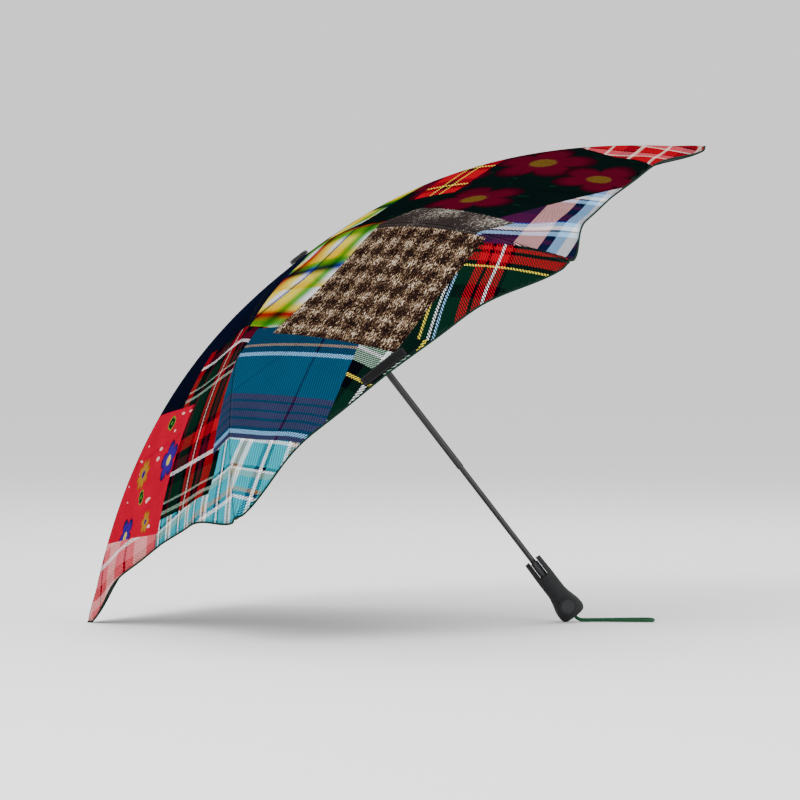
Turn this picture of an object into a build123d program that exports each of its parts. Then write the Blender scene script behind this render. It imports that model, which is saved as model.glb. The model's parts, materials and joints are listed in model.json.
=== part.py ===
"""Folding umbrella with six three-section ribs, a telescoping shaft and a short flared handle.

The umbrella is drawn upright about its own shaft: Z runs up the shaft, and Z = 0 is the plane of
the six rib tips.  The finished pieces are then laid down together by one rigid move, so that the
lowest rib tip and the end of the handle rest on a floor, with the middle of the grip at the origin.
"""
import os
from math import atan2, cos, pi, radians, sin, tan

from build123d import *

os.makedirs("parts", exist_ok=True)

# ---- driving dimensions (mm, degrees) ----
ARMS = 6                     # ribs round the crown
TIP_RADIUS = 480.0           # shaft to rib tip, open
CROWN_HEIGHT = 196.0         # top of the fabric above the tips
DOME_POWER = 2.25            # roundness of the dome's profile
LEAN = 37.6                  # tilt of the shaft from upright when laid down

FABRIC = 0.8                 # canopy cloth, with its coating
FABRIC_GAP = 0.5             # between neighbouring bands of cloth
PANEL_RELIEF = 0.06          # turn that parts two panels along their seam
RIB_DROP = 6.0               # rib centreline below the cloth
RIB_HEIGHT = 3.0
RIB_WIDTH = 3.0              # across the arm
RIVET_RADIUS = 1.2
RIVET_CLEARANCE = 0.1
RIVET_PROUD = 0.2            # rivet end past the section that it holds
EYE_WALL = 1.5               # round a rivet, at the ends of each rib section
SIDE_GAP = 0.5               # between two sections that lie side by side
PIVOT_BELOW = 1.5            # crown rivet below the rib's centreline
TIP_LENGTH = 26.0            # moulded tip on the outer rib
TIP_THICKNESS = 5.6
TIP_SLOPE = 38.7             # of the moulded tip, with the umbrella upright
KNUCKLES = (12.0, 190.0, 320.0)   # radii of the crown, inner and outer rib joints
RIM_BACK = 30.0              # from the tips back to the hem, as a radius along a rib
BRACE_AT = 110.0             # radius where the brace meets the inner rib
BRACE_BOW = 0.4
BRACE_DROP = 4.0             # brace rivet below the rib's centreline
RUNNER_HEIGHT = 110.0        # runner pivots above the tips, open

UPPER_WALL = 0.75
TUBE_CLEARANCE = 0.05        # each side, between the two tubes
UPPER_END = -131.0           # lower end of the upper tube
LOWER_OD = 7.0
LOWER_WALL = 0.8
TUBE_OVERLAP = 40.0          # lower tube inside the upper tube, extended
ROD_OD = 3.0
ROD_FOOT = 3.0               # thickness of the rod's foot
FOOT_CLEARANCE = 2.0         # below the lower tube

HUB_EDGE = 4.0               # hub beyond the crown rivets
HUB_THICKNESS = 11.0
HUB_ROOF = 3.0               # solid top of the hub, over the upper tube
HUB_BELOW = 2.0              # top of the hub below the cloth
PIN_BITE = 2.2               # rivet in the hub, each side of a slot
PIN_END = 1.0                # hole beyond each end of its rivet
CAP_RADIUS = 13.0
CAP_HEIGHT = 5.0
CAP_FILLET = 2.0
CAP_LIFT = 0.4               # disc above the cloth
CAP_STEM = 7.8               # radius of the stem, through the cloth
SLOT_CLEARANCE = 0.3         # each side of a rib eye in its slot

RUNNER_WALL = 4.55
FLANGE_COVER = 0.2           # flange beyond the brace eyes
FLANGE_HEIGHT = 8.0
RUNNER_FILLET = 1.5
RUNNER_LENGTH = 38.0
RUNNER_CLEARANCE = 0.15

HANDLE_END = -364.0          # bottom of the handle
HANDLE_LENGTH = 87.0
GRIP_RADIUS = 12.0
GRIP_TOP_RADIUS = 11.4
FLARE_RADIUS = 17.2
FLARE_HEIGHT = 12.0          # widest ring above the bottom
STRAIGHT_FROM = 38.0         # straight part of the grip, above the bottom
STRAIGHT_TO = 62.0
BASE_RADIUS = 10.5
WINDOW_GAP = 0.3             # each side of the collar, in the handle's window
WINDOW_DEPTH = 24.0
HANDLE_BORE = 8.2
BORE_FLOOR = 24.0            # solid foot of the handle
CORE_CLEARANCE = 0.1
COLLAR_WALL = 1.4
COLLAR_BELOW = 3.0           # top of the collar below the handle's top
COLLAR_CHAMFER = 0.8
BUTTON_HEIGHT = 16.0         # button axis above the bottom
BUTTON_RADIUS = 8.4
BUTTON_THICKNESS = 4.0
BUTTON_TRAVEL = 2.0
BUTTON_CLEARANCE = 0.15
BUTTON_PROUD = 0.8
BUTTON_FILLET = 0.64
GROOVE_RADIUS = 5.6          # ring groove in the button's face
GROOVE_WIDTH = 0.4
GROOVE_DEPTH = 0.3
BOSS_WALL = 2.3
BOSS_PROUD = 0.4             # front of the boss beyond the flare
LEAF_RADIUS = 7.4
LEAF_BORE = 5.4
LEAF_THICKNESS = 0.4

CORD_DIAMETER = 4.2
CORD_LIFT = 0.2              # cord above the floor
# one strand of the wrist loop, from the handle's end: forward, sideways, and down to the floor
CORD_SPREAD = 3.4
CORD_ROUTE = ((15.5, 3.9), (39.0, 6.6), (70.0, 12.4), (97.5, 14.0))
ANCHOR_LENGTH = 7.0
ANCHOR_RADIUS = 6.2
ANCHOR_FILLET = 0.8

TIE_WIDTH = 17.0             # closing tie on the hem
TIE_LENGTH = 62.0
TIE_THICKNESS = 1.6
TIE_CORNER = 3.0
TIE_LIFT = 0.3               # tie above the cloth

# ---- worked-out values ----
SECTOR = 360.0 / ARMS
HALF_SECTOR = radians(SECTOR / 2)
HANDLE_TOP = HANDLE_END + HANDLE_LENGTH
GRIP_HEIGHT = HANDLE_END + (STRAIGHT_FROM + STRAIGHT_TO) / 2
LOWER_TOP = UPPER_END + TUBE_OVERLAP
LOWER_FOOT = HANDLE_END + BORE_FLOOR + FOOT_CLEARANCE
UPPER_OD = LOWER_OD + 2 * (TUBE_CLEARANCE + UPPER_WALL)
COLLAR_OD = LOWER_OD + 2 * COLLAR_WALL
WINDOW_WIDTH = COLLAR_OD + 2 * WINDOW_GAP
BOSS_RADIUS = BUTTON_RADIUS + BOSS_WALL
BOSS_FRONT = FLARE_RADIUS + BOSS_PROUD
EYE_RADIUS = RIVET_RADIUS + RIVET_CLEARANCE + EYE_WALL
HUB_RADIUS = KNUCKLES[0] + HUB_EDGE
RUNNER_BORE = UPPER_OD / 2 + RUNNER_CLEARANCE
RUNNER_CORE = RUNNER_BORE + RUNNER_WALL
RUNNER_FLANGE = KNUCKLES[0] + EYE_RADIUS + FLANGE_COVER
RIM_RADIUS = TIP_RADIUS - RIM_BACK
SLOT_HALF = RIB_WIDTH / 2 + SLOT_CLEARANCE
PIN_LENGTH = 2 * (SLOT_HALF + PIN_BITE)
BESIDE = RIB_WIDTH + SIDE_GAP        # sideways step between neighbouring sections
RIB_END = TIP_RADIUS - TIP_THICKNESS / 2


def cloth_height(radius):
    """Height of the cloth over a rib, at a radius along that rib."""
    return CROWN_HEIGHT * (1 - (radius / TIP_RADIUS) ** DOME_POWER)


def rib_height(radius):
    """Height of a rib's centreline."""
    return cloth_height(radius) - RIB_DROP


def shift(point, away):
    """A point in an arm's own plane, moved by a pair of distances."""
    return (point[0] + away[0], point[1] + away[1])


CROWN_PIVOT = (KNUCKLES[0], rib_height(KNUCKLES[0]) - PIVOT_BELOW)
INNER_KNUCKLE = (KNUCKLES[1], rib_height(KNUCKLES[1]))
OUTER_KNUCKLE = (KNUCKLES[2], rib_height(KNUCKLES[2]))
RIB_TIP = (RIB_END, rib_height(TIP_RADIUS) + RIB_DROP)
TIP_ROOT = shift(RIB_TIP, (-TIP_LENGTH * cos(radians(TIP_SLOPE)), TIP_LENGTH * sin(radians(TIP_SLOPE))))
BRACE_TOP = (BRACE_AT, rib_height(BRACE_AT) - BRACE_DROP)
BRACE_FOOT = (KNUCKLES[0], RUNNER_HEIGHT)
HUB_TOP = cloth_height(KNUCKLES[0]) - HUB_BELOW
HUB_FOOT = HUB_TOP - HUB_THICKNESS

laid_down = Location((0, 0, 0), (0, -LEAN, 0)) * Location((0, 0, -GRIP_HEIGHT))
tip_foot = (laid_down * Location((-TIP_RADIUS, 0, 0))).position.Z - TIP_THICKNESS / 2
handle_foot = (laid_down * Location((-BASE_RADIUS, 0, HANDLE_END))).position.Z
floor_height = min(tip_foot, handle_foot)
button_plane = Plane((0, -BOSS_FRONT, HANDLE_END + BUTTON_HEIGHT), x_dir=(1, 0, 0), z_dir=(0, -1, 0))


def keep(builder, label, place=laid_down):
    """Lays one finished piece down with the rest, names it and writes it."""
    piece = builder.part.moved(place)
    piece.label = label
    export_step(piece, f"parts/{label}.step")


def arm_plane(index, sideways=0.0):
    """The upright plane of one arm, X outwards and Y up, moved sideways across the arm."""
    turn = Location((0, 0, 0), (0, 0, index * SECTOR))
    return Plane(turn * Location((0, sideways, 0), (90, 0, 0)))


def bar_outline(start, end, bulge, eye):
    """One bowed bar in its arm's plane, with a round eye at each end."""
    middle = shift(((start[0] + end[0]) / 2, (start[1] + end[1]) / 2), (0, bulge))
    half = RIB_HEIGHT / 2
    with BuildSketch() as outline:
        with BuildLine():
            ThreePointArc(shift(start, (0, half)), shift(middle, (0, half)), shift(end, (0, half)))
            Line(shift(end, (0, half)), shift(end, (0, -half)))
            ThreePointArc(shift(end, (0, -half)), shift(middle, (0, -half)), shift(start, (0, -half)))
            Line(shift(start, (0, -half)), shift(start, (0, half)))
        make_face()
        with Locations(start, end):
            Circle(eye)
    return outline.sketch


def rib_outline(start, end, eye=EYE_RADIUS):
    """One rib section, bowed as far as the dome stands above the straight line between its ends."""
    bulge = rib_height((start[0] + end[0]) / 2) - (start[1] + end[1]) / 2
    return bar_outline(start, end, bulge, eye)


# ---- handle ----
with BuildPart() as grip_shell:
    with BuildSketch(Plane.XZ):
        with BuildLine():
            Line((0, HANDLE_END), (BASE_RADIUS, HANDLE_END))
            Spline(
                (BASE_RADIUS, HANDLE_END),
                (FLARE_RADIUS, HANDLE_END + FLARE_HEIGHT),
                (GRIP_RADIUS, HANDLE_END + STRAIGHT_FROM),
                tangents=((1, 0.1), (-0.12, 1)),
            )
            Line((GRIP_RADIUS, HANDLE_END + STRAIGHT_FROM), (GRIP_RADIUS, HANDLE_END + STRAIGHT_TO))
            Line((GRIP_RADIUS, HANDLE_END + STRAIGHT_TO), (GRIP_TOP_RADIUS, HANDLE_TOP))
            Line((GRIP_TOP_RADIUS, HANDLE_TOP), (0, HANDLE_TOP))
            Line((0, HANDLE_TOP), (0, HANDLE_END))
        make_face()
    revolve(axis=Axis.Z)
    with BuildSketch(button_plane):
        Circle(BOSS_RADIUS)
    extrude(amount=-BOSS_FRONT)
    with BuildSketch(Plane.XY.offset(HANDLE_END + BORE_FLOOR)):
        Circle(HANDLE_BORE)
    extrude(amount=HANDLE_LENGTH, mode=Mode.SUBTRACT)
    with Locations((0, 0, HANDLE_TOP)):
        Box(WINDOW_WIDTH, 4 * GRIP_RADIUS, 2 * WINDOW_DEPTH, mode=Mode.SUBTRACT)
    with BuildSketch(button_plane):
        Circle(BUTTON_RADIUS + BUTTON_CLEARANCE)
    extrude(amount=-(BUTTON_THICKNESS + BUTTON_TRAVEL + 2 * LEAF_THICKNESS), mode=Mode.SUBTRACT)
    with BuildSketch(Plane.XY.offset(HANDLE_END)):
        Circle(ANCHOR_RADIUS)
    extrude(amount=ANCHOR_LENGTH, mode=Mode.SUBTRACT)
keep(grip_shell, "grip_shell")

with BuildPart() as handle_core:
    with BuildSketch(Plane.XY.offset(HANDLE_END + BORE_FLOOR)):
        Circle(HANDLE_BORE - CORE_CLEARANCE)
    extrude(amount=HANDLE_LENGTH - WINDOW_DEPTH - BORE_FLOOR)
    with BuildSketch(Plane.XY.offset(LOWER_FOOT)):
        Circle(LOWER_OD / 2)
    extrude(amount=HANDLE_LENGTH, mode=Mode.SUBTRACT)
keep(handle_core, "handle_core")

with BuildPart() as shaft_collar:
    with BuildSketch(Plane.XY.offset(HANDLE_TOP - WINDOW_DEPTH)):
        Circle(COLLAR_OD / 2)
        Circle(LOWER_OD / 2, mode=Mode.SUBTRACT)
    extrude(amount=WINDOW_DEPTH - COLLAR_BELOW)
    chamfer(shaft_collar.edges().group_by(Axis.Z)[-1].sort_by(SortBy.RADIUS)[-1], COLLAR_CHAMFER)
keep(shaft_collar, "shaft_collar")

with BuildPart() as release_button:
    with BuildSketch(button_plane.offset(BUTTON_PROUD)):
        Circle(BUTTON_RADIUS)
    extrude(amount=-BUTTON_THICKNESS)
    fillet(release_button.edges().sort_by(Axis.Y)[0], BUTTON_FILLET)
    with BuildSketch(button_plane.offset(BUTTON_PROUD)):
        Circle(GROOVE_RADIUS + GROOVE_WIDTH)
        Circle(GROOVE_RADIUS, mode=Mode.SUBTRACT)
    extrude(amount=-GROOVE_DEPTH, mode=Mode.SUBTRACT)
keep(release_button, "release_button")

leaf_back = BUTTON_PROUD - BUTTON_THICKNESS - BUTTON_TRAVEL - LEAF_THICKNESS
with BuildPart() as button_leaf:
    with BuildSketch(button_plane.offset(leaf_back)):
        Circle(LEAF_RADIUS)
        Circle(LEAF_BORE, mode=Mode.SUBTRACT)
    extrude(amount=LEAF_THICKNESS)
keep(button_leaf, "button_leaf")

with BuildPart() as cord_anchor:
    with BuildSketch(Plane.XY.offset(HANDLE_END)):
        Circle(ANCHOR_RADIUS - CORE_CLEARANCE)
    extrude(amount=ANCHOR_LENGTH - CORE_CLEARANCE)
    fillet(cord_anchor.edges().sort_by(Axis.Z)[0], ANCHOR_FILLET)
keep(cord_anchor, "cord_anchor")

# ---- telescoping shaft ----
with BuildPart() as lower_tube:
    with BuildSketch(Plane.XY.offset(LOWER_FOOT)):
        Circle(LOWER_OD / 2)
        Circle(LOWER_OD / 2 - LOWER_WALL, mode=Mode.SUBTRACT)
    extrude(amount=LOWER_TOP - LOWER_FOOT)
keep(lower_tube, "lower_tube")

with BuildPart() as drive_rod:
    with BuildSketch(Plane.XY.offset(LOWER_FOOT + ROD_FOOT)):
        Circle(ROD_OD / 2)
    extrude(amount=LOWER_TOP - LOWER_FOOT - ROD_FOOT)
    with BuildSketch(Plane.XY.offset(LOWER_FOOT)):
        Circle(LOWER_OD / 2 - LOWER_WALL)
    extrude(amount=ROD_FOOT)
keep(drive_rod, "drive_rod")

with BuildPart() as upper_tube:
    with BuildSketch(Plane.XY.offset(UPPER_END)):
        Circle(UPPER_OD / 2)
        Circle(UPPER_OD / 2 - UPPER_WALL, mode=Mode.SUBTRACT)
    extrude(amount=HUB_TOP - HUB_ROOF - UPPER_END)
keep(upper_tube, "upper_tube")

# ---- crown ----
with BuildPart() as crown_hub:
    with BuildSketch(Plane.XY.offset(HUB_FOOT)):
        Circle(HUB_RADIUS)
    extrude(amount=HUB_THICKNESS)
    with BuildSketch(Plane.XY.offset(HUB_FOOT)):
        Circle(UPPER_OD / 2)
    extrude(amount=HUB_THICKNESS - HUB_ROOF, mode=Mode.SUBTRACT)
    with PolarLocations(0, ARMS):
        with Locations((HUB_RADIUS, 0, HUB_TOP - HUB_THICKNESS / 2)):
            Box(
                2 * (HUB_RADIUS - KNUCKLES[0] + EYE_RADIUS + SLOT_CLEARANCE),
                2 * SLOT_HALF,
                2 * HUB_THICKNESS,
                mode=Mode.SUBTRACT,
            )
    for index in range(ARMS):
        with BuildSketch(arm_plane(index, PIN_LENGTH / 2 + PIN_END)):
            with Locations(CROWN_PIVOT):
                Circle(RIVET_RADIUS)
        extrude(amount=PIN_LENGTH + 2 * PIN_END, mode=Mode.SUBTRACT)
keep(crown_hub, "crown_hub")

with BuildPart() as crown_pins:
    for index in range(ARMS):
        with BuildSketch(arm_plane(index, PIN_LENGTH / 2)):
            with Locations(CROWN_PIVOT):
                Circle(RIVET_RADIUS)
        extrude(amount=PIN_LENGTH)
keep(crown_pins, "crown_pins")

with BuildPart() as crown_cap:
    with BuildSketch(Plane.XY.offset(CROWN_HEIGHT + CAP_LIFT)):
        Circle(CAP_RADIUS)
    extrude(amount=CAP_HEIGHT)
    fillet(crown_cap.edges().group_by(Axis.Z)[-1], CAP_FILLET)
    with BuildSketch(Plane.XY.offset(HUB_TOP)):
        Circle(CAP_STEM)
    extrude(amount=CROWN_HEIGHT + CAP_LIFT - HUB_TOP)
keep(crown_cap, "crown_cap")

# ---- runner ----
with BuildPart() as runner:
    with BuildSketch(Plane.XY.offset(RUNNER_HEIGHT - FLANGE_HEIGHT / 2)):
        Circle(RUNNER_FLANGE)
    extrude(amount=FLANGE_HEIGHT)
    with BuildSketch(Plane.XY.offset(RUNNER_HEIGHT + FLANGE_HEIGHT / 2 - RUNNER_LENGTH)):
        Circle(RUNNER_CORE)
    extrude(amount=RUNNER_LENGTH - FLANGE_HEIGHT)
    fillet(runner.edges().group_by(Axis.Z)[0], RUNNER_FILLET)
    with BuildSketch(Plane.XY.offset(RUNNER_HEIGHT - RUNNER_LENGTH)):
        Circle(RUNNER_BORE)
    extrude(amount=2 * RUNNER_LENGTH, mode=Mode.SUBTRACT)
    with PolarLocations(0, ARMS):
        groove_root = KNUCKLES[0] - EYE_RADIUS - SLOT_CLEARANCE
        with Locations((groove_root + RUNNER_FLANGE / 2, -BESIDE, RUNNER_HEIGHT)):
            Box(RUNNER_FLANGE, 2 * SLOT_HALF, 2 * FLANGE_HEIGHT, mode=Mode.SUBTRACT)
keep(runner, "runner")

# ---- ribs and braces ----
for index in range(ARMS):
    with BuildPart() as rib_inner:
        with BuildSketch(arm_plane(index, RIB_WIDTH / 2)):
            add(rib_outline(CROWN_PIVOT, INNER_KNUCKLE))
            with Locations(BRACE_TOP):
                Circle(EYE_RADIUS)
            with BuildLine():
                Polyline(
                    shift(BRACE_TOP, (-EYE_RADIUS, 0)),
                    shift(BRACE_TOP, (EYE_RADIUS, 0)),
                    shift(BRACE_TOP, (EYE_RADIUS, BRACE_DROP)),
                    shift(BRACE_TOP, (-EYE_RADIUS, BRACE_DROP)),
                    close=True,
                )
            make_face()
            with Locations(CROWN_PIVOT, INNER_KNUCKLE, BRACE_TOP):
                Circle(RIVET_RADIUS + RIVET_CLEARANCE, mode=Mode.SUBTRACT)
        extrude(amount=RIB_WIDTH)
    keep(rib_inner, f"rib_inner_{index}")

    with BuildPart() as rib_middle:
        with BuildSketch(arm_plane(index, RIB_WIDTH / 2 + BESIDE)):
            add(rib_outline(INNER_KNUCKLE, OUTER_KNUCKLE))
        extrude(amount=RIB_WIDTH)
        with BuildSketch(arm_plane(index, RIB_WIDTH / 2 + SIDE_GAP)):
            with Locations(INNER_KNUCKLE, OUTER_KNUCKLE):
                Circle(RIVET_RADIUS)
        extrude(amount=RIB_WIDTH + SIDE_GAP + RIVET_PROUD)
    keep(rib_middle, f"rib_middle_{index}")

    with BuildPart() as rib_outer:
        with BuildSketch(arm_plane(index, RIB_WIDTH / 2)):
            add(rib_outline(OUTER_KNUCKLE, RIB_TIP, RIB_HEIGHT / 2))
            with Locations(OUTER_KNUCKLE):
                Circle(EYE_RADIUS)
                Circle(RIVET_RADIUS + RIVET_CLEARANCE, mode=Mode.SUBTRACT)
        extrude(amount=RIB_WIDTH)
        with BuildSketch(arm_plane(index, TIP_THICKNESS / 2)):
            with Locations(RIB_TIP, TIP_ROOT):
                Circle(TIP_THICKNESS / 2)
            make_hull()
        extrude(amount=TIP_THICKNESS)
    keep(rib_outer, f"rib_outer_{index}")

    with BuildPart() as brace:
        with BuildSketch(arm_plane(index, RIB_WIDTH / 2 - BESIDE)):
            add(bar_outline(BRACE_FOOT, BRACE_TOP, BRACE_BOW, EYE_RADIUS))
        extrude(amount=RIB_WIDTH)
        with BuildSketch(arm_plane(index, RIB_WIDTH / 2 + RIVET_PROUD)):
            with Locations(BRACE_TOP):
                Circle(RIVET_RADIUS)
        extrude(amount=RIB_WIDTH + SIDE_GAP + RIVET_PROUD)
    keep(brace, f"brace_{index}")


# ---- canopy cloth: planar facets over each rib section ----
def facet(inner, outer, side):
    """Half of one cloth panel between two radii along a rib, as a thin planar prism."""
    reach = cos(HALF_SECTOR)
    swing = side * (HALF_SECTOR - radians(PANEL_RELIEF))
    corners = []
    for radius, along in ((inner, 0), (inner, 1), (outer, 1), (outer, 0)):
        half_line = radius * reach if along else radius
        angle = swing if along else 0
        corners.append((half_line * cos(angle), half_line * sin(angle), cloth_height(radius)))
    outline = Face(Wire.make_polygon([Vector(*corner) for corner in corners], close=True))
    return extrude(outline, amount=FABRIC, dir=(0, 0, -1), mode=Mode.PRIVATE)


BANDS = {
    "canopy_inner": (CAP_STEM / cos(HALF_SECTOR) + FABRIC_GAP, KNUCKLES[1], 5),
    "canopy_middle": (KNUCKLES[1] + FABRIC_GAP, KNUCKLES[2], 4),
    "canopy_outer": (KNUCKLES[2] + FABRIC_GAP, RIM_RADIUS, 4),
}
for label, (start, end, steps) in BANDS.items():
    for index in range(ARMS):
        with BuildPart() as panel:
            with Locations(Location((0, 0, 0), (0, 0, index * SECTOR))):
                for step in range(steps):
                    low = start + (end - start) * step / steps
                    high = start + (end - start) * (step + 1) / steps
                    add(facet(low, high, 1))
                    add(facet(low, high, -1))
        keep(panel, f"{label}_{index}")

# ---- hem tie, flat on the panel that faces -Y, beside its hem ----
slope_from = RIM_RADIUS - TIE_WIDTH / cos(HALF_SECTOR)
slope = atan2(
    cloth_height(slope_from) - cloth_height(RIM_RADIUS),
    (RIM_RADIUS - slope_from) * cos(HALF_SECTOR),
)
tie_radius = (slope_from + RIM_RADIUS) / 2
tie_plane = Plane(
    (0, -tie_radius * cos(HALF_SECTOR), cloth_height(tie_radius)),
    x_dir=(1, 0, 0),
    z_dir=(0, -sin(slope), cos(slope)),
)
with BuildPart() as hem_tie:
    with BuildSketch(tie_plane.offset(TIE_LIFT)):
        RectangleRounded(TIE_LENGTH, TIE_WIDTH, TIE_CORNER)
    extrude(amount=TIE_THICKNESS)
keep(hem_tie, "hem_tie")

# ---- wrist loop: out of the handle's end, down to the floor, and along it ----
exit_point = (laid_down * Location((0, 0, HANDLE_END))).position
floor_line = floor_height + CORD_DIAMETER / 2 + CORD_LIFT
drop = (exit_point.Z - floor_line) * tan(radians(LEAN))
strand = [(0, CORD_SPREAD, exit_point.Z), (drop, CORD_SPREAD, floor_line)]
strand += [(forward, sideways, floor_line) for forward, sideways in CORD_ROUTE]
strand = [Vector(exit_point.X + x, exit_point.Y + y, z) for x, y, z in strand]
cord_points = strand + [Vector(p.X, -p.Y, p.Z) for p in reversed(strand)]


def corner_radius(before, corner, after):
    """The largest arc that 0.45 of the shorter of two runs allows."""
    into, out = corner - before, after - corner
    turn = radians(into.get_angle(out))
    return 0.45 * min(into.length, out.length) / tan(turn / 2)


cord_radii = [corner_radius(*cord_points[i : i + 3]) for i in range(len(cord_points) - 2)]
with BuildPart() as wrist_cord:
    with BuildLine() as cord_route:
        FilletPolyline(*cord_points, radius=cord_radii)
    with BuildSketch(Plane(cord_route.line @ 0, z_dir=cord_route.line % 0)):
        Circle(CORD_DIAMETER / 2)
    sweep()
keep(wrist_cord, "wrist_cord", Location())
cord_length = cord_route.wires()[0].length
fill = wrist_cord.part.volume / (pi * CORD_DIAMETER**2 / 4 * cord_length)
print(f"wrist cord {cord_length:.1f} mm long, volume ratio {fill:.4f}")
print("its arcs, in mm:", [round(radius, 1) for radius in cord_radii])
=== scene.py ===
"""Looks of a folding patchwork umbrella: its cloth, trims, finishes, stage and camera.

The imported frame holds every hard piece.  This script sews the canopy over the ribs, lays the tie
and the wrist loop in place, gives each piece its finish, and sets the floor, lights and camera.
"""
import json
import logging
import math
from dataclasses import dataclass, field
from enum import Enum
from typing import Callable, Sequence, Union

import bpy
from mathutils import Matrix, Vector


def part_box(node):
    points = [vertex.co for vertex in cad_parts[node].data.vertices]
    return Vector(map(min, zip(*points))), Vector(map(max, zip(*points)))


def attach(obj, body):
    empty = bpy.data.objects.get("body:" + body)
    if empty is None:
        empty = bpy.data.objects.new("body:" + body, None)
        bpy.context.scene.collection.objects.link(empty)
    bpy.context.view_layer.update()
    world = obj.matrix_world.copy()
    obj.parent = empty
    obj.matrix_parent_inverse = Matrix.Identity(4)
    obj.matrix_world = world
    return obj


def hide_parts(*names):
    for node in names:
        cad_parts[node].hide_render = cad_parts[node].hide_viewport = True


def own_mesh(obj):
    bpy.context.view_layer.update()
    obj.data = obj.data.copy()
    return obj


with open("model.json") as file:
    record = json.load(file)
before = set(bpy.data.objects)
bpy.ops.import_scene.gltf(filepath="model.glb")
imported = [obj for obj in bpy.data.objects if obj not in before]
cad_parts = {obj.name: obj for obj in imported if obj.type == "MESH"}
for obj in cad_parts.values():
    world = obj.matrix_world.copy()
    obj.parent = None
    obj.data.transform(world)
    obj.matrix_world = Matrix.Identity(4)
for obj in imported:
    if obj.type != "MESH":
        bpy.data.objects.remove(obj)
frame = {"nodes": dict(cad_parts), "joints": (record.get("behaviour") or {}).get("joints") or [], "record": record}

log = logging.getLogger("umbrella")
Colour = tuple[float, float, float]
MM = 0.001
TWILL = 4.4 * MM        # pitch of the printed twill's diagonals


# ---------------------------------------------------------------- shader tools
class Value:
    """One socket's value, which takes Python arithmetic."""

    def __init__(self, shader: "Shader", socket: bpy.types.NodeSocket) -> None:
        """Keeps the shader that the socket belongs to."""
        self.shader, self.socket = shader, socket

    def __add__(self, other: "Number") -> "Value":
        """Sum."""
        return self.shader.maths("ADD", self, other)

    def __sub__(self, other: "Number") -> "Value":
        """Difference."""
        return self.shader.maths("SUBTRACT", self, other)

    def __mul__(self, other: "Number") -> "Value":
        """Product."""
        return self.shader.maths("MULTIPLY", self, other)

    def __truediv__(self, other: "Number") -> "Value":
        """Quotient."""
        return self.shader.maths("DIVIDE", self, other)

    def __lt__(self, other: "Number") -> "Value":
        """1 where this is the smaller, else 0."""
        return self.shader.maths("LESS_THAN", self, other)

    def __gt__(self, other: "Number") -> "Value":
        """1 where this is the larger, else 0."""
        return self.shader.maths("GREATER_THAN", self, other)

    def __abs__(self) -> "Value":
        """Size without its sign."""
        return self.shader.maths("ABSOLUTE", self)

    def __rsub__(self, other: float) -> "Value":
        """Difference from a number."""
        return self.shader.maths("SUBTRACT", other, self)

    __radd__ = __add__
    __rmul__ = __mul__


Number = Union[Value, float]


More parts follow.
